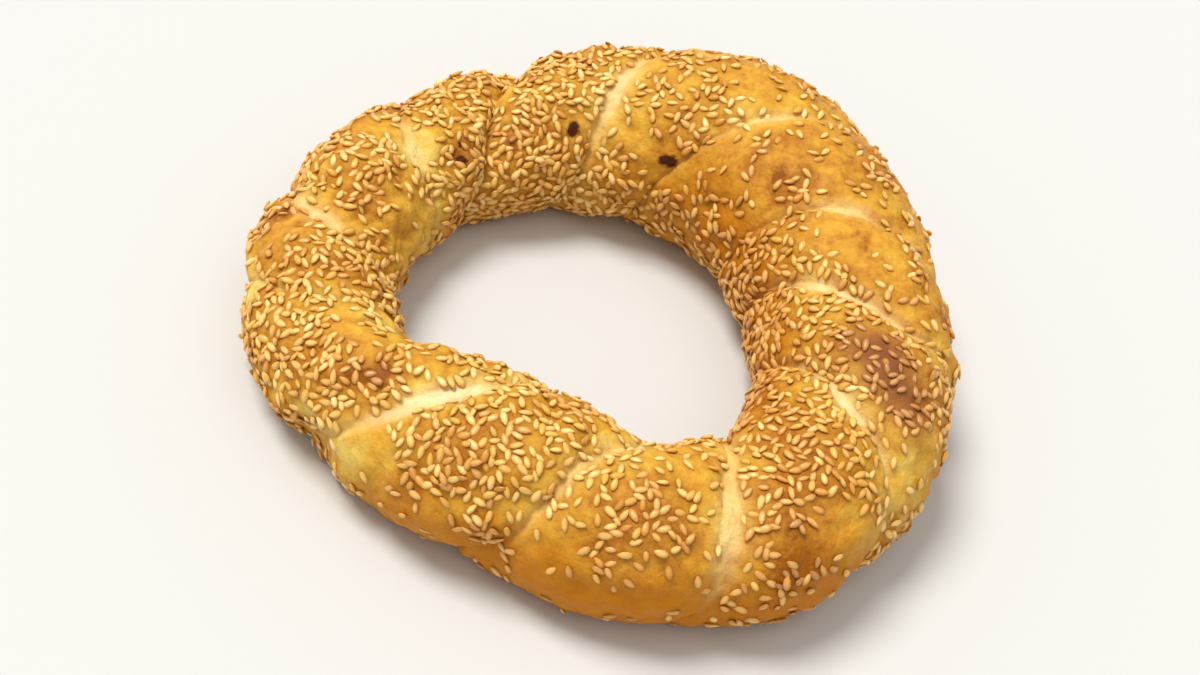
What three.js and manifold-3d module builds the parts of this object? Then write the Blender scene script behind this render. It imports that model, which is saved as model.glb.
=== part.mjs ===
// Simit: a ring of bread, made of two ropes of dough twisted round each other and pinched into
// a ring, rolled in sesame seed and baked flat on a tray. Everything is one solid: the twisted
// crumb with its seams, and an even share of its seeds standing out of the crust at true size.
// Millimetres, +Z up. The ring lies flat with its underside on Z = 0 and its middle on the Z axis.
import * as THREE from "three";
import { mergeVertices } from "three/addons/utils/BufferGeometryUtils.js";
import Module from "manifold-3d";

// The ring and its rope.
const RING_RADIUS = 56.9; // middle of the hole to the middle of the rope
const ROPE_RADIUS = 18.8; // half the rope's mean thickness
const RING_MIDDLE = new THREE.Vector2(-0.2, -0.5); // moves the uneven ring's middle onto the Z axis
const SECTION_HEIGHT = 0.95; // the rope's height as a share of its width
const SECTION_LIFT = 0.8; // its middle's height, as a share of its radius: the rest is flat on the tray

// A ring shaped by hand isn't round, nor is its rope even: [waves round the ring, size, phase in degrees].
const RING_WAVES = [
  [1, 2.9, -103],
  [2, 1.7, -57],
  [3, 3.3, -142],
  [4, 1.0, 134],
  [5, 0.6, -7],
];
const ROPE_WAVES = [
  [1, 3.0, 21],
  [2, 1.5, 112],
  [4, 0.7, -76],
];

// The seams between the two ropes, in order round the ring. The first three numbers are the angles,
// in degrees counterclockwise from +X, at which the seam crosses the ring's outside, its top and its
// inside. It goes on underneath and comes up the outside as the seam two places on, because there
// are two ropes. The last number is how much fuller than most the dough after it is.
const SEAMS = [
  [6, 26, 38.5, 0.2],
  [40, 57, 86, 0],
  [80, 99.5, 113, 0.3],
  [112, 131, 149, -1.1],
  [138, 157, 167, -0.2],
  [173, 189.5, 203, 0],
  [195, 210.5, 226, -1.0],
  [230, 247, 270, 0.4],
  [267, 276.5, 300, 0.3],
  [297, 300.5, 311, 0.2],
  [322, 331.5, 342, 0.2],
  [349, 357.5, 372, 0],
];
const FULLNESS = 3;
const ROPES = 2;
const OUTSIDE = 0; // the quarters of the rope's section that a seam passes
const INSIDE = 2;
const UNDERNEATH = 3;
const QUARTERS = 4;

// The swelling of the dough between two seams.
const GROOVE_DEPTH = 3.6; // of a seam, below the crest beside it
const CREST_RISE = 1.2; // of a crest, above the rope's mean radius
const FULL_SWELL_WIDTH = 20; // a strip of dough narrower than this swells less
const SWELL_POWER = 2.2; // how broad the top of a swelling is
const SWELL_EDGE = 0.55; // how steeply it falls into the seam

// The mesh: columns between two seams, placed closer together beside them, and rows round the rope.
const COLUMNS = [0, 0.07, 0.2, 0.4, 0.6, 0.8, 0.93];
const ROWS = 26;

// Sesame seeds.
const SEED_LENGTH = 3.2;
const SEED_WIDTH = 2.0;
const SEED_THICKNESS = 1.4;
const SEED_SUNK = 0.5; // of its thickness, below the crust
const SEED_SIDES = 5;
const SEED_STEPS = 3;
const SEED_BLUNT_END = 0.25; // how much wider one end is than the other
const SEED_COUNT = 168;
const SEED_CLEARANCE = 4.6; // between the middles of two seeds
const SEED_SEAM_CLEARANCE = 0.12; // of the width between two seams, kept bare beside them
const SEED_LOWEST = 3.5; // above the tray
const SEED_CHOICE = 41; // of the random draw
const SEED_COVER = [0.35, 0.4, 1, 0.9, 0.55, 0.75, 0.8, 0.85, 0.55, 0.4, 0.75, 0.4]; // after each seam
const SEED_COVER_INSIDE = 0.9; // on the wall of the hole

const CRUST_COLOUR = 0xd59a3c;
const CRUST_ROUGHNESS = 0.55;
const WELD_GAP = 1e-3;

const degrees = THREE.MathUtils.degToRad;

const wasm = await Module();
wasm.setup();

// A length that varies round the ring.
function uneven(mean, waves, angle) {
  return waves.reduce(
    (sum, [count, size, phase]) => sum + size * Math.cos(count * angle - degrees(phase)),
    mean,
  );
}

// The angle at which a seam crosses one quarter of the rope's section. Quarters past the fourth
// are the same line of dough on its next turn round the rope.
function crossing(seam, quarter) {
  const turn = Math.floor(quarter / QUARTERS);
  const place = quarter - turn * QUARTERS;
  const index = seam + ROPES * turn;
  if (place === UNDERNEATH) {
    return (crossing(index, INSIDE) + crossing(index + ROPES, OUTSIDE)) / 2;
  }
  const lap = Math.floor(index / SEAMS.length);
  return SEAMS[index - lap * SEAMS.length][place] + 360 * lap;
}

// A seam's angle round the ring, in radians, at an angle round the rope: a smooth curve through
// its crossings. Round the rope, 0 is outside, a quarter turn is the top and a half turn inside.
function seamAngle(seam, tube) {
  const along = tube / (Math.PI / 2);
  const quarter = Math.floor(along);
  const f = along - quarter;
  const [a, b, c, d] = [-1, 0, 1, 2].map((step) => crossing(seam, quarter + step));
  const bend = 2 * a - 5 * b + 4 * c - d + f * (3 * (b - c) + d - a);
  return degrees(b + 0.5 * f * (c - a + f * bend));
}

// How much fuller than most the dough after a seam is. Near the tray it passes to that of the
// same rope's next turn.
function fullness(seam, tube) {
  const later = THREE.MathUtils.smoothstep(tube, 1.25 * Math.PI, 1.75 * Math.PI);
  const next = (seam + ROPES) % SEAMS.length;
  return THREE.MathUtils.lerp(SEAMS[seam][FULLNESS], SEAMS[next][FULLNESS], later);
}

// The height of the dough between two seams, from 0 in the seam to 1 on the crest.
function swell(share) {
  return Math.pow(1 - Math.pow(Math.abs(2 * share - 1), SWELL_POWER), SWELL_EDGE);
}

// The middle of the rope at an angle round the ring.
function ropeMiddle(angle) {
  const radius = uneven(RING_RADIUS, RING_WAVES, angle);
  const lift = SECTION_LIFT * uneven(ROPE_RADIUS, ROPE_WAVES, angle);
  return new THREE.Vector3(
    radius * Math.cos(angle) - RING_MIDDLE.x,
    radius * Math.sin(angle) - RING_MIDDLE.y,
    lift,
  );
}

// A point of the crust, share of the way from one seam to the next, at an angle round the rope.
function crustPoint(seam, share, tube) {
  const from = seamAngle(seam, tube);
  const to = seamAngle(seam + 1, tube);
  const angle = THREE.MathUtils.lerp(from, to, share);
  const width = (to - from) * (RING_RADIUS + ROPE_RADIUS * Math.cos(tube));
  const depth = GROOVE_DEPTH * Math.min(1, width / FULL_SWELL_WIDTH);
  const rope = uneven(ROPE_RADIUS, ROPE_WAVES, angle);
  const rise = (fullness(seam, tube) + depth) * swell(share) - depth;
  const radius = rope + CREST_RISE + rise;
  const out = radius * Math.cos(tube);
  const point = ropeMiddle(angle);
  point.x += out * Math.cos(angle);
  point.y += out * Math.sin(angle);
  point.z += SECTION_HEIGHT * radius * Math.sin(tube);
  point.z = Math.max(0, point.z);
  return point;
}

// The twisted ring. A torus gives the grid, and each of its points moves to the crust. A row of
// the grid ends two seams on from where it began, which is where the first row has the same point.
function ringGeometry() {
  const columns = SEAMS.length * COLUMNS.length;
  const geometry = new THREE.TorusGeometry(RING_RADIUS, ROPE_RADIUS, ROWS, columns);
  const position = geometry.getAttribute("position");
  const uv = geometry.getAttribute("uv");
  for (let i = 0; i < position.count; i++) {
    const column = Math.round(uv.getX(i) * columns) % columns;
    const seam = Math.floor(column / COLUMNS.length);
    const share = COLUMNS[column % COLUMNS.length];
    const point = crustPoint(seam, share, uv.getY(i) * 2 * Math.PI);
    position.setXYZ(i, point.x, point.y, point.z);
  }
  return geometry;
}

// One seed, lying along X with its flat side up. It is drawn to a point at one end.
function seedGeometry() {
  const geometry = new THREE.SphereGeometry(0.5, SEED_SIDES, SEED_STEPS);
  geometry.rotateZ(Math.PI / 2);
  geometry.scale(SEED_LENGTH, SEED_WIDTH, SEED_THICKNESS);
  const position = geometry.getAttribute("position");
  for (let i = 0; i < position.count; i++) {
    const widen = 1 + (SEED_BLUNT_END * position.getX(i)) / (SEED_LENGTH / 2);
    position.setY(i, position.getY(i) * widen);
  }
  return geometry;
}

// A closed geometry as a solid that can be joined.
function solidOf(geometry) {
  const bare = geometry.clone();
  bare.deleteAttribute("normal");
  bare.deleteAttribute("uv");
  const welded = mergeVertices(bare, WELD_GAP);
  return new wasm.Manifold(
    new wasm.Mesh({
      numProp: 3,
      vertProperties: Float32Array.from(welded.getAttribute("position").array),
      triVerts: Uint32Array.from(welded.index.array),
    }),
  );
}

// A solid as a geometry again.
function geometryOf(solid) {
  const mesh = solid.getMesh();
  const corners = new Float32Array(3 * mesh.numVert);
  for (let i = 0; i < mesh.numVert; i++) {
    const start = i * mesh.numProp;
    corners.set(mesh.vertProperties.subarray(start, start + 3), 3 * i);
  }
  const geometry = new THREE.BufferGeometry();
  geometry.setAttribute("position", new THREE.BufferAttribute(corners, 3));
  geometry.setIndex(new THREE.BufferAttribute(mesh.triVerts, 1));
  geometry.computeVertexNormals();
  return geometry;
}

// Numbers from 0 to 1 that are the same each time.
function randomDraw(choice) {
  let state = choice;
  return () => {
    state = (state + 0x6d2b79f5) | 0;
    let mixed = Math.imul(state ^ (state >>> 15), 1 | state);
    mixed = (mixed + Math.imul(mixed ^ (mixed >>> 7), 61 | mixed)) ^ mixed;
    return ((mixed ^ (mixed >>> 14)) >>> 0) / 4294967296;
  };
}

// Where the seeds go: spread evenly over the crust, clear of each other, of the seams and of the tray.
function seedPlaces() {
  const draw = randomDraw(SEED_CHOICE);
  const step = 1e-3;
  const places = [];
  while (places.length < SEED_COUNT) {
    const seam = Math.floor(draw() * SEAMS.length);
    const share = THREE.MathUtils.lerp(SEED_SEAM_CLEARANCE, 1 - SEED_SEAM_CLEARANCE, draw());
    const tube = draw() * 2 * Math.PI;
    const point = crustPoint(seam, share, tube);
    const cover = Math.max(SEED_COVER[seam], SEED_COVER_INSIDE * -Math.cos(tube));
    const taken = places.some((place) => place.point.distanceTo(point) < SEED_CLEARANCE);
    if (draw() > cover || taken || point.z < SEED_LOWEST) continue;
    const along = crustPoint(seam, share + step, tube).sub(point);
    const round = crustPoint(seam, share, tube + step).sub(point);
    const normal = along.cross(round).normalize();
    places.push({ point, normal, turn: draw() * 2 * Math.PI });
  }
  return places;
}

// The whole simit as one solid: the ring with its seeds fused on.
function simitGeometry() {
  const seed = seedGeometry();
  const up = new THREE.Vector3(0, 0, 1);
  let simit = solidOf(ringGeometry());
  for (const { point, normal, turn } of seedPlaces()) {
    const facing = new THREE.Quaternion().setFromUnitVectors(up, normal);
    facing.multiply(new THREE.Quaternion().setFromAxisAngle(up, turn));
    const middle = point.clone().addScaledVector(normal, (0.5 - SEED_SUNK) * SEED_THICKNESS);
    const placed = new THREE.Matrix4().compose(middle, facing, new THREE.Vector3(1, 1, 1));
    simit = simit.add(solidOf(seed.clone().applyMatrix4(placed)));
  }
  return geometryOf(simit);
}

function crustMaterial() {
  return new THREE.MeshStandardMaterial({
    color: CRUST_COLOUR,
    roughness: CRUST_ROUGHNESS,
    metalness: 0,
  });
}

const simit = new THREE.Mesh(simitGeometry(), crustMaterial());
simit.name = "simit";

const part = new THREE.Group();
part.add(simit);
export default part;
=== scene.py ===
"""A simit: a ring of bread twisted from two ropes of dough and rolled in sesame seed.

Everything is in metres, in the part's own frame: +Z up, with the flat underside on Z = 0.
A size whose comment says mm is in millimetres until it goes into a mesh or a material.
"""

import math
import random

import bmesh
import bpy
import numpy as np
from mathutils import Matrix, Vector, noise
from mathutils.kdtree import KDTree


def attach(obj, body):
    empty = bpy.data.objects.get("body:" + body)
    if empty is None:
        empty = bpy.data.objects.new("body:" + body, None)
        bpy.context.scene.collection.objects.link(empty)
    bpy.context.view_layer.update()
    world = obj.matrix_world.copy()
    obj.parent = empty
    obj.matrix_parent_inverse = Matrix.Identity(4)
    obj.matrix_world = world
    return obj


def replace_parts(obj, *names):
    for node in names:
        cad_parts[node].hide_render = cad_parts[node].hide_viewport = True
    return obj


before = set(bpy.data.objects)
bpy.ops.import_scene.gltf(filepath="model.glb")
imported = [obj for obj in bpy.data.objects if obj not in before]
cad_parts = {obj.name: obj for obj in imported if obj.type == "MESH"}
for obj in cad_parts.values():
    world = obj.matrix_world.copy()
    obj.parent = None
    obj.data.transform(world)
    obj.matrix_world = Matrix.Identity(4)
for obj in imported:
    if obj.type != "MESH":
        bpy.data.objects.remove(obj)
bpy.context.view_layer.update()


# ---- The ring of dough ----------------------------------------------------------------------
# Two ropes of wheat dough are twisted round each other, and the ends are pinched into a ring.
# In the oven the strands swell against each other, so that their tops brown and their seams
# tear open, which leaves pale strips of unbrowned crust between them.

MM = 0.001
TURN = 2 * math.pi

RING_RADIUS = 56.9  # mm, middle of the hole to the middle of the rope
ROPE_RADIUS = 18.8  # mm
BOX_MIDDLE = (-0.2, -0.5)  # mm from the middle of the hole; it goes to the origin
SECTION_HEIGHT = 0.95  # the rope's height as a share of its width
SECTION_LIFT = 0.8  # its middle's height as a share of its radius
# The waves that make the ring and the rope uneven: how many in a turn, mm high, phase in degrees.
RING_WAVES = ((1, 2.9, -103), (2, 1.7, -57), (3, 3.3, -142), (4, 1.0, 134), (5, 0.6, -7))
ROPE_WAVES = ((1, 3.0, 21), (2, 1.5, 112), (4, 0.7, -76))

# One row for each seam, in order round the ring: the angles at which it crosses the outside, the
# top and the inside of the ring, and how full the dough after it is (mm). Then half the width of
# its pale strip (mm), how deep it lies (share of the usual depth), how pale it is, and the angle
# round the rope where it tore widest, with half the length of the tear. Then how brown the dough
# after it is, how well it took the seed and how wrinkled it is, all as shares. Angles are degrees.
SEAMS = np.array(
    [
        (6, 26, 38.5, 0.2, 1.0, 0.5, 0.50, 94, 18, 0.48, 0.20, 0.4),
        (40, 57, 86, 0.0, 1.0, 0.55, 0.55, 100, 16, 0.42, 0.30, 0.4),
        (80, 99.5, 113, 0.3, 2.1, 0.7, 0.60, 98, 38, 0.42, 0.60, 0.7),
        (112, 131, 149, -1.1, 0.2, 1.6, 0.10, 90, 40, 0.38, 0.56, 1.0),
        (138, 157, 167, -0.2, 1.9, 0.8, 0.44, 108, 30, 0.38, 0.45, 1.0),
        (173, 189.5, 203, 0.0, 1.6, 0.7, 0.57, 74, 38, 0.38, 0.48, 0.9),
        (195, 210.5, 226, -1.0, 0.7, 0.5, 0.30, 30, 26, 0.36, 0.50, 0.8),
        (230, 247, 273, 0.4, 2.6, 0.75, 1.00, 76, 30, 0.40, 0.50, 0.5),
        (263.5, 275.5, 300, 0.3, 1.1, 0.8, 0.44, 96, 60, 0.46, 0.40, 0.2),
        (295.5, 301, 315, 0.2, 2.1, 0.7, 0.47, 66, 62, 0.46, 0.36, 0.2),
        (324, 331.5, 342, 0.2, 1.3, 0.75, 0.84, 96, 38, 0.44, 0.52, 0.5),
        (353, 357.5, 374, 0.0, 1.3, 0.7, 0.74, 104, 48, 0.46, 0.28, 0.5),
    ]
)
FULLNESS, STRIP, DEPTH, PALENESS, WIDEST, LENGTH, BROWN, SEEDED, WRINKLED = range(3, 12)
STRANDS = len(SEAMS)
GROOVE_DEPTH = 3.6  # mm, from a crest down to its seam
CREST_RISE = 1.2  # mm, of a crest above the plain rope
FULL_SWELL_WIDTH = 20  # mm; a narrower strand swells less
SWELL_POWERS = (2.2, 0.55)  # a strand's section, where 2 and 0.5 are half a circle
UNTORN_SHARE = 0.25  # how open a seam is beyond the ends of its tear
SEAM_WANDER = 0.8  # mm, in bends of 10 mm
COLUMNS = 768  # of the mesh, round the ring
ROWS = 128  # round the rope
CROWDING = 0.07  # brings the columns closer together at the seams
NOISE_TO_ONE = 1.6  # Blender's noise spans about -0.6 to 0.6


def uneven(mean, waves, angle):
    """A length that varies round the ring."""
    return mean + sum(
        size * np.cos(count * angle - math.radians(phase)) for count, size, phase in waves
    )


def smooth(low, high, value):
    """0 below low and 1 above high, with a smooth step between them."""
    share = np.clip((value - low) / (high - low), 0, 1)
    return share * share * (3 - 2 * share)


def fade(distance, reach):
    """1 at no distance, about a third at the reach and next to nothing at twice it."""
    return np.exp(-((distance / reach) ** 2))


def lumps(points, size, shift=0):
    """Smooth noise of that size, about -1 to 1. Each shift gives a pattern of its own."""
    return np.array([noise.noise(Vector(p / size)) for p in points + shift]) * NOISE_TO_ONE


def crossing(seam, quarter):
    """The angle at which a seam crosses a quarter of the rope's section, in degrees."""
    turn, place = np.divmod(quarter, 4)
    seam = seam + 2 * turn

    def stated(index, column):
        return SEAMS[index % STRANDS, column] + 360 * (index // STRANDS)

    underneath = (stated(seam, 2) + stated(seam + 2, 0)) / 2
    return np.where(place == 3, underneath, stated(seam, np.minimum(place, 2)))


def seam_angle(seam, tube):
    """A seam's angle round the ring at an angle round the rope, on a Catmull-Rom curve."""
    along = tube / (TURN / 4)
    quarter = np.floor(along).astype(int)
    f = along - quarter
    a, b, c, d = (crossing(seam, quarter + step) for step in (-1, 0, 1, 2))
    bend = 2 * a - 5 * b + 4 * c - d + f * (3 * (b - c) + d - a)
    return np.radians(b + 0.5 * f * (c - a + f * bend))


def of_seam(seam, tube, column):
    """A seam's stated value. Near the tray it passes to that of the strand's next turn."""
    later = smooth(0.625 * TURN, 0.875 * TURN, tube)
    here, following = SEAMS[seam % STRANDS, column], SEAMS[(seam + 2) % STRANDS, column]
    return here + later * (following - here)


def torn(seam, tube):
    """How far a seam tore: 1 where it is widest, and little beyond the ends of the tear."""

    def share(seam, tube):
        widest = np.radians(SEAMS[seam % STRANDS, WIDEST])
        return fade(tube - widest, np.radians(SEAMS[seam % STRANDS, LENGTH]))

    open_share = np.maximum(share(seam, tube), share(seam + 2, tube - TURN))
    return UNTORN_SHARE + (1 - UNTORN_SHARE) * open_share


def swell(share):
    """The height of a strand across its width, from 0 at a seam to 1 on the crest."""
    crest, side = SWELL_POWERS
    return (1 - np.abs(2 * share - 1) ** crest) ** side


def grid_place(co, shift):
    """The place of a point of the plain ring in the order of its columns and rows."""
    round_ring = math.atan2(co.y, co.x) / TURN * COLUMNS
    round_rope = math.atan2(co.z, math.hypot(co.x, co.y) - RING_RADIUS) / TURN * ROWS
    column, row = math.floor(round_ring + shift), math.floor(round_rope + shift)
    return column % COLUMNS * ROWS + row % ROWS


bm = bmesh.new()
upright = Matrix.Translation((RING_RADIUS, 0, 0)) @ Matrix.Rotation(math.pi / 2, 4, "X")
bmesh.ops.create_circle(bm, segments=ROWS, radius=ROPE_RADIUS, matrix=upright)
bmesh.ops.spin(
    bm,
    geom=bm.verts[:] + bm.edges[:],
    axis=(0, 0, 1),
    cent=(0, 0, 0),
    angle=TURN,
    steps=COLUMNS,
    use_merge=True,
)
bmesh.ops.remove_doubles(bm, verts=bm.verts[:], dist=1e-4)
bmesh.ops.recalc_face_normals(bm, faces=bm.faces[:])
# The sesame is sown by the order of the faces, so their order is made the same at each run.
bm.verts.sort(key=lambda vertex: grid_place(vertex.co, 0.5))
bm.faces.sort(key=lambda face: grid_place(face.calc_center_median(), 0))
dough = bpy.data.meshes.new("dough_ring")
bm.to_mesh(dough)
bm.free()

plain = np.empty(3 * len(dough.vertices))
dough.vertices.foreach_get("co", plain)
plain = plain.reshape(-1, 3)
column = np.arctan2(plain[:, 1], plain[:, 0]) / TURN * COLUMNS
out = np.hypot(plain[:, 0], plain[:, 1]) - RING_RADIUS
row = np.arctan2(plain[:, 2], out) / TURN * ROWS
column = np.rint(column).astype(int) % COLUMNS
row = np.rint(row).astype(int) % ROWS

# The mesh's rows lean, so that a seam runs along its edges: it gains two places in a turn.
seam, step = np.divmod(column - row, COLUMNS // STRANDS)
share = step / (COLUMNS // STRANDS)
share = share - CROWDING * np.sin(TURN * share)
tube = row / ROWS * TURN
before, after = seam_angle(seam, tube), seam_angle(seam + 1, tube)
angle = before + share * (after - before)
rope = uneven(ROPE_RADIUS, ROPE_WAVES, angle)
ring = uneven(RING_RADIUS, RING_WAVES, angle)


def crust_points(radius):
    """The points of the crust at a radius of the rope, in mm."""
    reach = ring + radius * np.cos(tube)
    height = SECTION_LIFT * rope + SECTION_HEIGHT * radius * np.sin(tube)
    return np.stack(
        [
            reach * np.cos(angle) - BOX_MIDDLE[0],
            reach * np.sin(angle) - BOX_MIDDLE[1],
            height,
        ],
        axis=1,
    )


# A seam wanders a little from its smooth curve.
angle = angle + SEAM_WANDER * lumps(crust_points(rope), 10, 200) / ring
width = (after - before) * (ring + rope * np.cos(tube))

from_seam, to_seam = share * width, (1 - share) * width
torn_before, torn_after = torn(seam, tube), torn(seam + 1, tube)
strip_before = of_seam(seam, tube, STRIP) * torn_before
strip_after = of_seam(seam + 1, tube, STRIP) * torn_after
swelling = np.maximum(width - strip_before - strip_after, 1e-6)
swollen = swell(np.clip((from_seam - strip_before) / swelling, 0, 1))
nearer = share < 0.5
depth_blend = smooth(0, 1, share)
depth = of_seam(seam, tube, DEPTH) * (1 - depth_blend)
depth = depth + of_seam(seam + 1, tube, DEPTH) * depth_blend
depth = GROOVE_DEPTH * depth * np.minimum(1, width / FULL_SWELL_WIDTH)
radius = rope + CREST_RISE + (of_seam(seam, tube, FULLNESS) + depth) * swollen - depth


# Knobs and dents of the dough: places by their angle round the ring and round the rope in degrees,
# with their size across and their height in mm.
KNOBS = (
    (105, 52, 6, 1.3),
    (97, 60, 9, 0.5),
    (131, 58, 10, 1.2),
    (124, 50, 9, -1.2),
    (124, 66, 8, -1.2),
    (150, 51, 6, 0.7),
    (158, 50, 6, 0.7),
    (170, 72, 12, 0.6),
    (181, 42, 5, 0.8),
    (196, 96, 14, 0.7),
    (206, 74, 9, -0.6),
    (214, 100, 9, 0.6),
    (216, 58, 12, 0.7),
    (224, 84, 9, -0.5),
    (228, 66, 8, 0.5),
    (143, 112, 8, 0.6),
    (150, 132, 8, 0.6),
    (118, 104, 10, 0.5),
    (86, 112, 14, 0.6),
    (45, 108, 20, 0.6),
    (20, 100, 18, 0.5),
    (338, 84, 18, 0.7),
    (284, 62, 22, 0.6),
    (252, 70, 18, 0.5),
    (318, 64, 16, 0.5),
    (14, 172, 5, 1.1),
    (5, 178, 4, 0.8),
    (347, 176, 5, 1.1),
    (312, 158, 5, 0.9),
    (300, 150, 4, 0.8),
    (218, 152, 22, -3.6),
    (226, 152, 16, -4.6),
    (228, 350, 9, -4.5),
    (225, 335, 10, -4.5),
    (262, 352, 8, -2.5),
)


def distance_from(ring_degrees, tube_degrees):
    """How far each point of the crust lies from a place on it, in mm."""
    along = (angle - math.radians(ring_degrees) + math.pi) % TURN - math.pi
    round_rope = (tube - math.radians(tube_degrees) + math.pi) % TURN - math.pi
    return np.hypot(along * (ring + rope * np.cos(tube)), round_rope * rope)


def places(table):
    """The sum of a table's places at each point of the crust, each a soft round patch."""
    total = np.zeros(len(angle))
    for ring_degrees, tube_degrees, across, amount in table:
        total += amount * fade(distance_from(ring_degrees, tube_degrees), across / 2)
    return total


# How high the crust's relief stands, in mm: its lumps 14, 6 and 3.2 mm across, what is added to
# the two smaller kinds where it is wrinkled, its creases, and the streaks beside a seam. Then a
# torn strip's raised lip, with its distance from the strip, and the threads in the strip. Last
# are the hollows of the underside, along its seams and where steam was caught.
BROAD_LUMPS, LUMPS, SMALL_LUMPS = 0.5, 0.5, 0.24
WRINKLED_LUMPS, WRINKLED_SMALL_LUMPS = 0.4, 0.30
CREASE_DEPTH = 0.7
STREAK_HEIGHT = 0.22
LIP_HEIGHT, LIP_DISTANCE = 0.35, 0.9
THREAD_HEIGHT = 0.15
SEAM_HOLLOW, STEAM_HOLLOW = 0.7, 0.3

points = crust_points(radius)
# Streaks run along a strand and threads across it, so both follow its own mm across and along.
across, along, of_strand = share * width, radius * tube, seam * 7.0
streaks = np.stack([across / 1.6, along / 14, of_strand], axis=1)
threads = np.stack([along / 2.2, across / 6, of_strand + 40], axis=1)
seam_distance = np.minimum(from_seam, to_seam)
pulled = fade(seam_distance, 4.5)
wrinkled = of_seam(seam, tube, WRINKLED)
# A crease runs where one pattern of lumps passes through 0, and a broader one breaks it off.
creases = fade(lumps(points, 6, 150), 0.2) * smooth(-0.5, 0.6, lumps(points, 11, 170))
radius = radius + places(KNOBS) * (0.4 + 0.6 * swollen)
radius = radius + BROAD_LUMPS * lumps(points, 14)
radius = radius + (LUMPS + WRINKLED_LUMPS * wrinkled) * lumps(points, 6, 50) * swollen
radius = radius + (SMALL_LUMPS + WRINKLED_SMALL_LUMPS * wrinkled) * lumps(points, 3.2, 90)
radius = radius - CREASE_DEPTH * wrinkled * creases
radius = radius + STREAK_HEIGHT * pulled * lumps(streaks, 1)

# How far a point lies outside the ragged edge of its pale strip, in mm, and how pale that is.
paleness = np.where(
    nearer,
    of_seam(seam, tube, PALENESS) * torn_before,
    of_seam(seam + 1, tube, PALENESS) * torn_after,
)
strip = np.where(nearer, strip_before, strip_after)
ragged = 0.40 * lumps(threads, 2.2) + 0.25 * lumps(threads, 0.9, 80)
edge = seam_distance - strip * (1 + ragged) - 0.4 * lumps(streaks, 2, 30)
radius = radius + LIP_HEIGHT * paleness * fade(edge - LIP_DISTANCE, 0.8)
radius = radius + THREAD_HEIGHT * paleness * smooth(0.5, -0.5, edge) * lumps(threads, 0.8, 20)
points = crust_points(radius)
# The tray pressed the underside flat, but for its seams and the small hollows that steam left.
seam_line = fade(seam_distance, 1.1)
hollows = smooth(0.15, 0.9, lumps(points, 5, 240))
lowest = np.maximum(SEAM_HOLLOW * seam_line, STEAM_HOLLOW * hollows)
points[:, 2] = np.maximum(points[:, 2], lowest)
dough.vertices.foreach_set("co", (points * MM).ravel())
dough.update()

# What the oven did: places on the crust, by their angle round the ring and round the rope, with
# their size across in mm and how much browner (or paler) they are than the rest.
BROWNED = (
    (45, 112, 24, 0.10),
    (42, 124, 4, 0.30),
    (5, 108, 8, 0.25),
    (16, 97, 14, 0.06),
    (82, 118, 12, 0.08),
    (134, 134, 6, 0.35),
    (150, 132, 7, 0.60),
    (131, 76, 8, 0.40),
    (150, 52, 8, 0.40),
    (158, 110, 10, -0.40),
    (183, 100, 8, 0.35),
    (193, 50, 14, 0.16),
    (201, 90, 12, 0.12),
    (220, 104, 13, -0.30),
    (256, 118, 14, -0.35),
    (232, 67, 6, 0.75),
    (229, 54, 5, 0.35),
    (236, 8, 16, -0.32),
    (201, 20, 7, -0.35),
    (226, 10, 10, -0.30),
    (219, 4, 7, -0.30),
    (216, 122, 12, -0.12),
    (253, 50, 20, 0.12),
    (262, 5, 7, 0.30),
    (284, 60, 18, 0.14),
    (291, 33, 12, 0.10),
    (318, 80, 16, 0.12),
    (308, 36, 14, 0.40),
    (325, 22, 16, -0.25),
    (334, 20, 18, -0.42),
    (331, 45, 8, -0.30),
    (350, 30, 12, -0.30),
    (172, 175, 16, -0.45),
    (303, 135, 12, -0.30),
    (160, 50, 5, 0.35),
    (186, 42, 6, 0.40),
    (102, 50, 6, 0.40),
    (244, 112, 14, -0.15),
    (285, 112, 16, -0.20),
    (306, 100, 10, -0.15),
    (129, 84, 7, -0.55),
    (306.5, 36, 9, 0.25),
    (342, 78, 24, 0.16),
)
# Where it burnt, in the same columns.
BURNT = (
    (344.5, 93, 13, 0.58),
    (342, 80, 13, 0.50),
    (339, 66, 14, 0.56),
    (336, 52, 8, 0.3),
    (232, 67, 4, 0.35),
)
# Scorched specks, in the same columns. A speck reaches to where its soft patch falls to a half.
SPECKS = (
    (80.5, 151, 3.2, 1.2),
    (82.8, 151, 3.0, 1.2),
    (114.4, 128.5, 2.8, 1.0),
    (115, 133, 3.0, 1.2),
    (151, 134, 3.4, 0.9),
    (149, 124, 2.6, 0.6),
)

# How much browner or paler each thing makes the crust, from 0 for pale gold to 1 for deep amber.
TOP_BROWNER = 0.10
BLOTCHES = 0.12
CREASES_BROWNER = 0.24
LIP_BROWNER = 0.20
SHOULDER_PALER = 0.45
# The angles round the ring, in degrees, at which the painted shade of the low side and of the
# hole's wall is darkest.
SHADED_SIDE = 305
SHADED_WALL = 10


def keep(mesh, name, values):
    """Stores a value at each vertex for the materials."""
    stored = mesh.attributes.new(name, "FLOAT", "POINT")
    stored.data.foreach_set("value", values.astype(np.float32))


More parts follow.
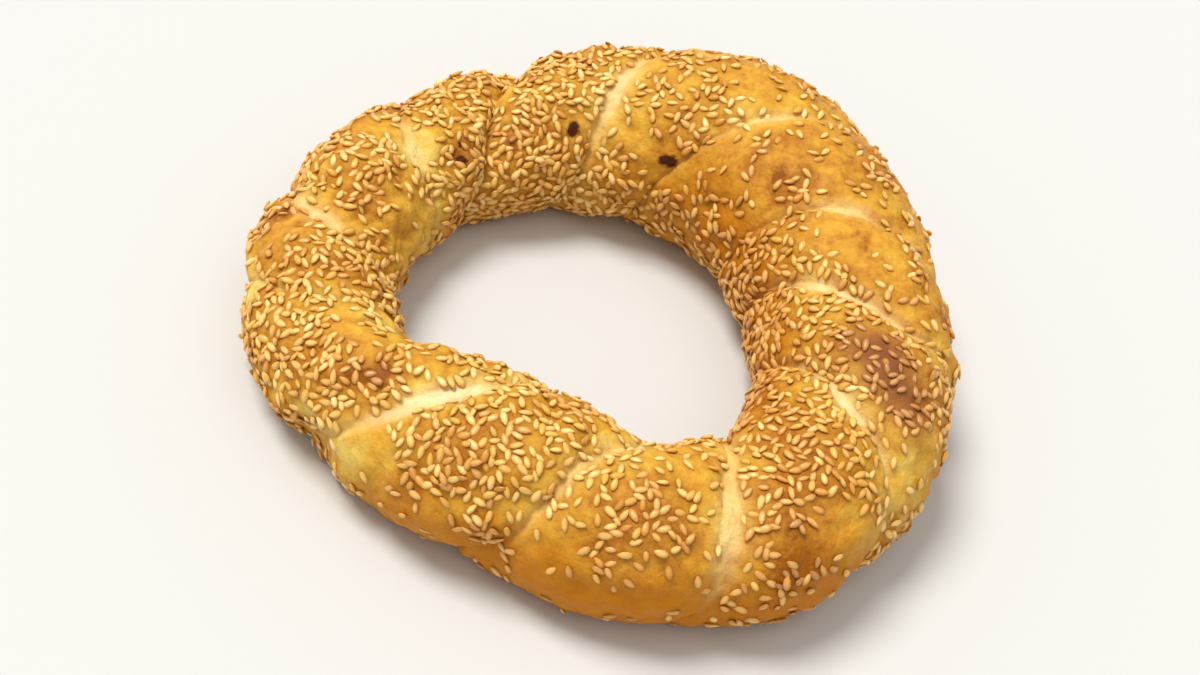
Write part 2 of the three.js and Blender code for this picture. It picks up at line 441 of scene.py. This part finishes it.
# A torn strip is palest in its middle, in threads, and beside it the crust is paler too.
strip_pale = 1 - 0.5 * smooth(-1.0, 1.0, edge) - 0.5 * smooth(-1.5, 3.5, edge)
strip_pale = paleness * strip_pale * (0.88 + 0.22 * lumps(threads, 0.7, 60))
shoulder = SHOULDER_PALER * paleness * np.exp(-np.maximum(edge, 0) / 4.5)
top = smooth(-0.4, 0.8, np.sin(tube))
browned, burnt = places(BROWNED), places(BURNT)
bake = of_seam(seam, tube, BROWN) + TOP_BROWNER * (top + swollen - 1)
bake = bake + BLOTCHES * lumps(points, 18, 20) + BLOTCHES * lumps(points, 7)
bake = bake + browned - shoulder
bake = bake + CREASES_BROWNER * wrinkled * creases
bake = bake + LIP_BROWNER * paleness * fade(edge - LIP_DISTANCE, 0.6)
# Painted shade: the low sides towards the front and the walls of the hole are painted a darker,
# deeper gold, where the next ring would shade them.
front = (0.5 + 0.5 * np.cos(angle - math.radians(SHADED_SIDE))) ** 1.3
level = np.sin(tube) + 0.15 * lumps(points, 9, 60)
low = smooth(0.35 + 0.55 * front, -0.45 + 0.5 * front, level) * (0.2 + 0.65 * front)
wall_shade = 0.15 + 0.7 * np.cos(angle - math.radians(SHADED_WALL))
low = np.maximum(low, smooth(-0.6, -1.0, np.cos(tube)) * wall_shade)
low = low * np.clip(1 + 2 * browned, 0, 1) * (1 - 0.7 * strip_pale)
# The side on the tray is browner in blotches, but for its hollows.
tray = smooth(1.2, 0.1, points[:, 2]) * (0.66 + 0.30 * lumps(points, 9, 260) - 0.30 * hollows)

keep(dough, "strip", np.clip(strip_pale, 0, 1))
keep(dough, "bake", np.clip(bake, 0, 1))
keep(dough, "burnt", np.clip(burnt, 0, 1))
keep(dough, "low", np.clip(low, 0, 1))
keep(dough, "tray", np.clip(tray, 0, 1))


def linear(hex_colour):
    """An sRGB hex colour as linear RGBA."""
    srgb = [int(hex_colour[i : i + 2], 16) / 255 for i in (0, 2, 4)]
    return [c / 12.92 if c <= 0.04045 else ((c + 0.055) / 1.055) ** 2.4 for c in srgb] + [1]


def add(tree, kind, inputs=None, **settings):
    """Adds a node with its settings, its values and its links."""
    made = tree.nodes.new(kind)
    for name, value in settings.items():
        setattr(made, name, value)
    for name, value in (inputs or {}).items():
        if isinstance(value, bpy.types.NodeSocket):
            tree.links.new(value, made.inputs[name])
        else:
            made.inputs[name].default_value = value
    return made


def set_ramp(ramp, stops):
    """Gives a colour ramp its stops, each a position and an sRGB hex colour."""
    while len(ramp.elements) < len(stops):
        ramp.elements.new(0.5)
    for element, (position, colour) in zip(ramp.elements, stops):
        element.position, element.color = position, linear(colour)


# Baked wheat crust: matte to satin, from pale cream where it tore to deep amber on top. Its colour
# is mottled in patches of some 5 mm and freckled, and it has a lean dough's pores and blisters.
# Its marks: their size in mm, and how finely and how roughly they break up.
CRUST_MARKS = (
    ("mottles", 5, 6.0, 0.6),
    ("freckles", 1.6, 3.0, 0.6),
    ("pores", 1.1, 4.0, 0.65),
    ("blisters", 4, 3.0, 0.5),
)
PORE_DEPTH, BLISTER_HEIGHT = 0.4, 1.0  # mm
# The edge of a scorched speck: how far in and out it wanders and in bits of what size, in mm, and
# the shares of the speck's size between which it fades.
SPECK_RAGGED, SPECK_BITS = 1.6, 1.2
SPECK_SOLID, SPECK_END = 0.75, 1.35

crust = bpy.data.materials.new("baked_wheat_crust")
crust.use_nodes = True
tree = crust.node_tree
tree.nodes.clear()
place = add(tree, "ShaderNodeTexCoord").outputs["Object"]
marks = {}
for mark, size, detail, roughness in CRUST_MARKS:
    marks[mark] = add(
        tree,
        "ShaderNodeTexNoise",
        {"Vector": place, "Scale": 1 / (size * MM), "Detail": detail, "Roughness": roughness},
    ).outputs["Fac"]
baked = add(tree, "ShaderNodeAttribute", attribute_name="bake").outputs["Fac"]
for mark, least, most, paler, browner in (
    ("mottles", 0.3, 0.7, -0.20, 0.20),
    ("freckles", 0.35, 0.75, -0.07, 0.20),
):
    patches = add(
        tree,
        "ShaderNodeMapRange",
        {
            "Value": marks[mark],
            "From Min": least,
            "From Max": most,
            "To Min": paler,
            "To Max": browner,
        },
    ).outputs["Result"]
    baked = add(tree, "ShaderNodeMath", {0: baked, 1: patches}, operation="ADD").outputs[0]
ramp = add(tree, "ShaderNodeValToRGB", {"Fac": baked})
set_ramp(
    ramp.color_ramp,
    (
        (0.0, "EBCB66"),
        (0.25, "E2B444"),
        (0.5, "D89F36"),
        (0.75, "C3832E"),
        (1.0, "905619"),
    ),
)

ragged_edge = add(
    tree,
    "ShaderNodeTexNoise",
    {"Vector": place, "Scale": 1 / (SPECK_BITS * MM), "Detail": 2.0},
).outputs["Color"]
offset = add(
    tree, "ShaderNodeVectorMath", {0: ragged_edge, 1: (0.5, 0.5, 0.5)}, operation="SUBTRACT"
).outputs["Vector"]
near_place = add(
    tree,
    "ShaderNodeVectorMath",
    {0: offset, 1: [SPECK_RAGGED * MM] * 3, 2: place},
    operation="MULTIPLY_ADD",
).outputs["Vector"]
scorched = None
for ring_degrees, tube_degrees, across, amount in SPECKS:
    middle = points[distance_from(ring_degrees, tube_degrees).argmin()] * MM
    size = across / 2 * math.sqrt(math.log(2 * amount)) * MM
    reach = add(
        tree, "ShaderNodeVectorMath", {0: near_place, 1: middle}, operation="DISTANCE"
    ).outputs["Value"]
    speck = add(
        tree,
        "ShaderNodeMapRange",
        {"Value": reach, "From Min": SPECK_END * size, "From Max": SPECK_SOLID * size},
    ).outputs["Result"]
    if scorched:
        both = {0: scorched, 1: speck}
        speck = add(tree, "ShaderNodeMath", both, operation="MAXIMUM").outputs[0]
    scorched = speck

# What lies over the baked colour, in this order: the torn strips, the painted shade of the low
# sides and the hole's walls, the molasses round the seeds and painted shade between them, the
# burnt patches, the scorched specks and the side on the tray.
colour = ramp.outputs["Color"]
for layer, over in (
    ("strip", "F3DFAE"),
    ("low", "C27200"),
    ("glaze_and_shade", "8C4602"),
    ("burnt", "8D5333"),
    ("specks", "4E2610"),
    ("tray", "B0722C"),
):
    if layer == "specks":
        amount = scorched
    else:
        amount = add(tree, "ShaderNodeAttribute", attribute_name=layer).outputs["Fac"]
    mixed = {0: amount, 6: colour, 7: linear(over)}
    colour = add(tree, "ShaderNodeMix", mixed, data_type="RGBA").outputs[2]
fine_bump = add(
    tree,
    "ShaderNodeBump",
    {"Strength": 0.9, "Distance": PORE_DEPTH * MM, "Height": marks["pores"]},
).outputs["Normal"]
crust_bump = add(
    tree,
    "ShaderNodeBump",
    {
        "Strength": 0.7,
        "Distance": BLISTER_HEIGHT * MM,
        "Height": marks["blisters"],
        "Normal": fine_bump,
    },
).outputs["Normal"]
crust_gloss = add(
    tree,
    "ShaderNodeMapRange",
    {"Value": marks["mottles"], "From Min": 0.3, "From Max": 0.7, "To Min": 0.36, "To Max": 0.52},
).outputs["Result"]
shader = add(
    tree,
    "ShaderNodeBsdfPrincipled",
    {
        "Base Color": colour,
        "Roughness": crust_gloss,
        "Normal": crust_bump,
        "IOR": 1.45,
        "Specular IOR Level": 0.1,
        "Subsurface Weight": 0.12,
        "Subsurface Radius": (1.0, 0.45, 0.15),
        "Subsurface Scale": 0.002,
    },
)
add(tree, "ShaderNodeOutputMaterial", {"Surface": shader.outputs["BSDF"]})

dough.materials.append(crust)
dough.polygons.foreach_set("use_smooth", [True] * len(dough.polygons))
dough_ring = bpy.data.objects.new("dough_ring", dough)
bpy.context.scene.collection.objects.link(dough_ring)
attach(dough_ring, "root")
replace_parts(dough_ring, "simit")


# ---- The sesame -----------------------------------------------------------------------------
# The ring is dipped in grape molasses and rolled in hulled sesame seed, which sticks flat to
# the dough in drifts and toasts with it. Where the seams tear open in the oven they stay bare.

SEED_LENGTH = 2.95  # mm
SEED_WIDTH = 1.55  # mm
SEED_THICKNESS = 0.85  # mm
SEED_TRIES = 90000
SEED_SPACING = 1.5  # mm, between the middles of two seeds
SEED_LOWEST = 2.0  # mm above the tray
SEED_SHIFT = 0.4  # mm, from the middle of a face of the mesh
# How much more of the seed the hole took, and how much less the low outside; how much drifts of
# 12 mm and clumps of 5 mm change it; the least that any place took; and a power that thins out
# the places that took little.
HOLE_MORE, OUTSIDE_LESS = 0.30, 0.08
DRIFTS, CLUMPS = 0.14, 0.22
THINNEST_COVER = 0.12
COVER_POWER = 2.2

# Places with more seed or less, in the columns of the places that browned.
SEED_DRIFTS = (
    (38, 114, 6, 0.35),
    (43, 124, 5, 0.25),
    (55, 118, 8, 0.40),
    (45, 100, 18, -0.25),
    (62, 150, 24, -0.20),
    (38, 70, 16, 0.15),
    (83, 117, 15, 0.40),
    (68, 118, 10, 0.20),
    (97, 147, 15, -0.20),
    (82, 151, 9, -0.90),
    (75, 85, 12, -0.15),
    (75, 168, 20, -0.20),
    (125, 118, 28, 0.25),
    (114, 131, 7, -0.80),
    (120, 150, 20, 0.15),
    (150, 130, 20, 0.20),
    (150, 134, 4, -0.40),
    (157, 108, 11, -0.60),
    (170, 95, 16, 0.20),
    (183, 100, 9, 0.30),
    (180, 157, 22, -0.45),
    (172, 178, 18, -0.70),
    (218, 124, 12, -0.40),
    (201, 20, 7, -0.50),
    (226, 10, 9, -0.40),
    (219, 4, 7, -0.30),
    (215, 48, 8, -0.25),
    (162, 70, 10, -0.20),
    (201, 88, 15, 0.35),
    (193, 50, 16, -0.40),
    (200, 125, 12, 0.15),
    (214, 45, 24, 0.30),
    (216, 15, 16, 0.15),
    (222, 96, 13, -0.45),
    (232, 67, 5, -0.45),
    (236, 60, 6, 0.30),
    (229, 54, 5, 0.30),
    (238, 102, 12, 0.10),
    (239, 20, 13, -0.45),
    (237, 45, 10, -0.30),
    (252, 35, 20, 0.35),
    (255, 64, 22, 0.40),
    (250, -12, 30, -0.60),
    (262, 5, 8, 0.50),
    (284, 68, 17, 0.35),
    (281, 30, 11, 0.30),
    (291, 33, 12, -0.30),
    (283, -12, 30, -0.55),
    (270, 30, 8, -0.30),
    (320, 88, 22, 0.45),
    (308, 88, 13, 0.15),
    (305, 60, 11, 0.15),
    (316, 38, 16, -0.30),
    (306, 22, 9, 0.25),
    (310, -12, 20, -0.25),
    (341, 70, 14, 0.10),
    (345, 94, 9, -0.60),
    (339, 64, 8, -0.30),
    (334, 22, 18, -0.65),
    (326, -12, 12, 0.30),
    (338, 140, 26, 0.05),
    (352, 152, 18, -0.30),
    (303, 135, 10, -0.30),
    (346, 28, 12, -0.15),
    (5, 108, 8, 0.55),
    (16, 128, 8, 0.35),
    (15, 98, 16, -0.25),
    (357, 112, 9, 0.30),
    (129, 84, 6, -0.60),
    (306.5, 36, 8, -0.30),
)

# How well the crust took the seed, from 0 to 1. The torn strips and the specks took none.
inside = smooth(-0.6, -0.98, np.cos(tube)) * smooth(-1.0, -0.2, np.sin(tube))
outside = smooth(0.2, 0.8, np.cos(tube)) * smooth(0.35, -0.1, np.sin(tube))
cover = of_seam(seam, tube, SEEDED) + HOLE_MORE * inside - OUTSIDE_LESS * outside
cover = cover + DRIFTS * lumps(points, 12, 70) + CLUMPS * lumps(points, 5, 110)
cover = np.clip(cover + places(SEED_DRIFTS), THINNEST_COVER, 1)
cover = cover * smooth(0.0, 1.8, edge + 1.4 * (1 - paleness))
cover = cover * (1 - np.clip(places(SPECKS), 0, 1))

corners = np.empty(4 * len(dough.polygons), dtype=int)
dough.polygons.foreach_get("vertices", corners)
corners = corners.reshape(-1, 4)
areas = np.empty(len(dough.polygons))
dough.polygons.foreach_get("area", areas)
face_normals = np.empty(3 * len(dough.polygons))
dough.polygons.foreach_get("normal", face_normals)
face_normals = face_normals.reshape(-1, 3)
face_middles = points[corners].mean(axis=1)
face_cover = cover[corners].mean(axis=1)

# Seeds fall on the faces by their area, and one that would lie on another rolls off.
draw = np.random.default_rng(7)
faces = draw.choice(len(areas), size=SEED_TRIES, p=areas / areas.sum())
shifts = draw.uniform(-SEED_SHIFT, SEED_SHIFT, size=(SEED_TRIES, 3))
lucky = draw.uniform(size=SEED_TRIES)
taken = {}
sown = []
for face, shift, luck in zip(faces, shifts, lucky):
    if luck > face_cover[face] ** COVER_POWER or face_middles[face][2] < SEED_LOWEST:
        continue
    normal = face_normals[face]
    shift = shift - normal * shift.dot(normal)
    middle = face_middles[face] + shift
    cell = tuple(np.floor(middle / SEED_SPACING).astype(int))
    around = (
        taken.get((cell[0] + i, cell[1] + j, cell[2] + k), ())
        for i in (-1, 0, 1)
        for j in (-1, 0, 1)
        for k in (-1, 0, 1)
    )
    if any(np.linalg.norm(middle - other) < SEED_SPACING for near in around for other in near):
        continue
    taken.setdefault(cell, []).append(middle)
    sown.append((face, middle, normal))

# Round each seed the crust is darker, partly from molasses that drew up and baked there and partly
# as painted shade, most where three seeds are near.
GLAZE_AND_SHADE_REACH = 1.5  # mm, from the middle of a seed
GLAZE_AND_SHADE_AMOUNT = 0.74
seed_middles = KDTree(len(sown))
for index, (_, middle, _) in enumerate(sown):
    seed_middles.insert(middle, index)
seed_middles.balance()
nearest = np.array([[found[2] for found in seed_middles.find_n(p, 3)] for p in points])
glaze_and_shade = fade(nearest[:, 0], GLAZE_AND_SHADE_REACH) * (0.45 + 0.55 * smooth(4.0, 1.8, nearest[:, 2]))
keep(dough, "glaze_and_shade", GLAZE_AND_SHADE_AMOUNT * glaze_and_shade)

# One hulled seed: a flat drop, rounded at one end and drawn to a point at the other. Its rim and
# underside are painted darker, as painted shade.
SEED_TAPER = 0.45  # how much thinner its point is than its rounded end
SEED_FILL = 1.12  # makes up for what the taper takes off
RIM_SHADE, UNDER_SHADE = 0.65, 0.8
bm = bmesh.new()
bmesh.ops.create_uvsphere(bm, u_segments=8, v_segments=5, radius=0.5)
bmesh.ops.rotate(bm, verts=bm.verts[:], matrix=Matrix.Rotation(math.pi / 2, 3, "Y"))
for vertex in bm.verts:
    taper = 1 - SEED_TAPER * (vertex.co.x + 0.5) ** 2
    vertex.co.y *= taper * SEED_FILL
    vertex.co.z *= taper * SEED_FILL
bmesh.ops.scale(bm, verts=bm.verts[:], vec=(SEED_LENGTH, SEED_WIDTH, SEED_THICKNESS))
bmesh.ops.triangulate(bm, faces=bm.faces[:])
bmesh.ops.recalc_face_normals(bm, faces=bm.faces[:])
seed_corners = np.array([vertex.co[:] for vertex in bm.verts])
bm.verts.index_update()
# Triangulating gives the faces in another order at each run, so they are sorted.
seed_faces = np.array(sorted([vertex.index for vertex in face.verts] for face in bm.faces))
bm.free()
from_middle = np.hypot(seed_corners[:, 0] / SEED_LENGTH, seed_corners[:, 1] / SEED_WIDTH) * 2
seed_rim_shade = RIM_SHADE * smooth(0.4, 1.0, from_middle)
seed_rim_shade = np.where(seed_corners[:, 2] > 0, seed_rim_shade, UNDER_SHADE)

# How the seeds differ: their size as a share, how far each is pressed in or stands out in mm, and
# how far it tips end to end and side to side, in radians.
SEED_SIZES = (0.86, 1.12)
SEED_PRESSED, SEED_STANDING = -0.12, 0.48
END_TIP, SIDE_TIP = 0.13, 0.22


def sow(name, spots, material):
    """Makes one mesh of seeds, each at its own spot on the crust, and dresses it."""
    rng = random.Random(name)
    seeds, tones = [], []
    for _, middle, normal in spots:
        facing = Vector(normal).to_track_quat("Z", "Y").to_matrix()
        turn = Matrix.Rotation(rng.uniform(0, TURN), 3, "Z")
        end_tip = Matrix.Rotation(rng.gauss(0, END_TIP), 3, "Y")
        side_tip = Matrix.Rotation(rng.gauss(0, SIDE_TIP), 3, "X")
        turned = np.array(facing @ turn @ (end_tip @ side_tip))
        size = rng.uniform(*SEED_SIZES)
        stands = SEED_PRESSED + SEED_STANDING * rng.random()
        seeds.append(seed_corners @ turned.T * size + middle + normal * stands)
        tones.append(rng.random())
    seeds = np.concatenate(seeds)
    first = np.arange(len(spots))[:, None, None] * len(seed_corners)
    all_faces = (seed_faces[None] + first).reshape(-1, 3)
    mesh = bpy.data.meshes.new(name)
    mesh.from_pydata((seeds * MM).tolist(), [], all_faces.tolist())
    keep(mesh, "tone", np.repeat(tones, len(seed_corners)))
    keep(mesh, "rim_shade", np.tile(seed_rim_shade, len(spots)))
    mesh.materials.append(material)
    mesh.polygons.foreach_set("use_smooth", [True] * len(mesh.polygons))
    piece = bpy.data.objects.new(name, mesh)
    bpy.context.scene.collection.objects.link(piece)
    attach(piece, "root")
    return piece


GRAIN_SIZE, GRAIN_DEPTH = 0.8, 0.1  # mm, of a seed's skin


def sesame(name, dark, light, rim_shade):
    """Hulled sesame seed, oily and smooth: satin, each seed its own tone, with painted shade at
    its rim.
    """
    material = bpy.data.materials.new(name)
    material.use_nodes = True
    tree = material.node_tree
    tree.nodes.clear()
    tone = add(tree, "ShaderNodeAttribute", attribute_name="tone").outputs["Fac"]
    ramp = add(tree, "ShaderNodeValToRGB", {"Fac": tone})
    set_ramp(ramp.color_ramp, ((0.0, dark), (1.0, light)))
    rim_shade_amount = add(tree, "ShaderNodeAttribute", attribute_name="rim_shade").outputs["Fac"]
    mixed = {0: rim_shade_amount, 6: ramp.outputs["Color"], 7: linear(rim_shade)}
    seed_colour = add(tree, "ShaderNodeMix", mixed, data_type="RGBA").outputs[2]
    place = add(tree, "ShaderNodeTexCoord").outputs["Object"]
    grain = add(
        tree,
        "ShaderNodeTexNoise",
        {"Vector": place, "Scale": 1 / (GRAIN_SIZE * MM), "Detail": 2.0},
    ).outputs["Fac"]
    bump = add(
        tree,
        "ShaderNodeBump",
        {"Strength": 0.3, "Distance": GRAIN_DEPTH * MM, "Height": grain},
    ).outputs["Normal"]
    shader = add(
        tree,
        "ShaderNodeBsdfPrincipled",
        {
            "Base Color": seed_colour,
            "Roughness": 0.32,
            "Normal": bump,
            "IOR": 1.47,
            "Subsurface Weight": 0.15,
            "Subsurface Radius": (1.0, 0.6, 0.3),
            "Subsurface Scale": 0.0008,
        },
    )
    add(tree, "ShaderNodeOutputMaterial", {"Surface": shader.outputs["BSDF"]})
    return material


# The kinds by how far they toasted: the darkest and lightest tone of each, and the painted shade
# of its rim.
KINDS = (
    ("sesame_pale", "F0C35C", "FEE298", "D2953C"),
    ("sesame_golden", "E7AF4A", "FDD684", "C98B2A"),
    ("sesame_toasted", "DA9A42", "F6C472", "B47426"),
    ("sesame_dark", "C4853F", "DDA463", "92561F"),
)
# A seed toasts as the crust under it browns, and more where it burnt. Where the low sides and the
# hole's walls are painted in shade, it also falls among darker kinds, as painted shade. The limits
# between the kinds are on the same scale.
BURNT_TOAST, PAINTED_SHADE_ON_SEEDS = 1.3, 0.3
TOAST_SPREAD = 0.12
KIND_LIMITS = (0.34, 0.62, 1.0)
face_toast_and_shade = (bake + BURNT_TOAST * burnt + PAINTED_SHADE_ON_SEEDS * low)[corners].mean(axis=1)
toast_and_shade = face_toast_and_shade[[face for face, _, _ in sown]]
toast_and_shade = toast_and_shade + draw.normal(0, TOAST_SPREAD, len(sown))
order = np.digitize(toast_and_shade, KIND_LIMITS)
for kind, (name, *tones) in enumerate(KINDS):
    chosen = [spot for spot, which in zip(sown, order) if which == kind]
    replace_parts(sow(name, chosen, sesame(name, *tones)), "simit")


# ---- Floor, light and camera ----------------------------------------------------------------
# A plain pale floor, painted matt, and even studio light from above, a little from the left. The
# camera looks down on the ring from the front and leans a little to one side.

FLOOR_REACH = 3.0  # m, from the middle to each side
FLOOR_DROP = 0.0003  # m, below the side that lay on the tray
bm = bmesh.new()
bmesh.ops.create_grid(bm, x_segments=1, y_segments=1, size=FLOOR_REACH)
floor_mesh = bpy.data.meshes.new("floor")
bm.to_mesh(floor_mesh)
bm.free()
floor_mesh.transform(Matrix.Translation((0, 0, -FLOOR_DROP)))
floor = bpy.data.objects.new("floor", floor_mesh)
bpy.context.scene.collection.objects.link(floor)
paint = bpy.data.materials.new("matt_white_paint")
paint.use_nodes = True
matt = paint.node_tree.nodes["Principled BSDF"]
matt.inputs["Base Color"].default_value = linear("D4D4D2")
matt.inputs["Roughness"].default_value = 0.9
floor_mesh.materials.append(paint)

world = bpy.data.worlds.new("studio")
world.use_nodes = True
glow = world.node_tree.nodes["Background"]
glow.inputs["Color"].default_value = linear("FCFAF6")
glow.inputs["Strength"].default_value = 0.55
bpy.context.scene.world = world


def studio_light(name, towards, strength, spread):
    """Soft even light from the side that towards points to, spread over that many degrees."""
    lamp = bpy.data.lights.new(name, "SUN")
    lamp.energy, lamp.angle, lamp.color = strength, math.radians(spread), (1.0, 0.98, 0.95)
    holder = bpy.data.objects.new(name, lamp)
    holder.matrix_world = Vector(towards).to_track_quat("Z", "Y").to_matrix().to_4x4()
    bpy.context.scene.collection.objects.link(holder)


studio_light("key", (-0.25, 0.05, 0.61), 2.8, 25)
studio_light("fill", (0.20, -0.15, 0.65), 0.35, 50)

CAMERA_AIM = Vector((0.0009, -0.0099, 0.014))
CAMERA_DISTANCE = 0.434
CAMERA_ELEVATION = math.radians(47)
CAMERA_ROLL = math.radians(15)
CAMERA_SENSOR, CAMERA_LENS = 36, 60.75  # mm
camera_data = bpy.data.cameras.new("camera")
camera_data.sensor_width = CAMERA_SENSOR
camera_data.lens = CAMERA_LENS
camera_data.clip_start = 0.01
camera = bpy.data.objects.new("camera", camera_data)
tilted = Matrix.Rotation(math.pi / 2 - CAMERA_ELEVATION, 4, "X")
turned = tilted @ Matrix.Rotation(CAMERA_ROLL, 4, "Z")
backwards = Vector((0, -math.cos(CAMERA_ELEVATION), math.sin(CAMERA_ELEVATION)))
camera.matrix_world = Matrix.Translation(CAMERA_AIM + backwards * CAMERA_DISTANCE) @ turned
bpy.context.scene.collection.objects.link(camera)
bpy.context.scene.camera = camera
bpy.context.scene.view_settings.view_transform = "Standard"
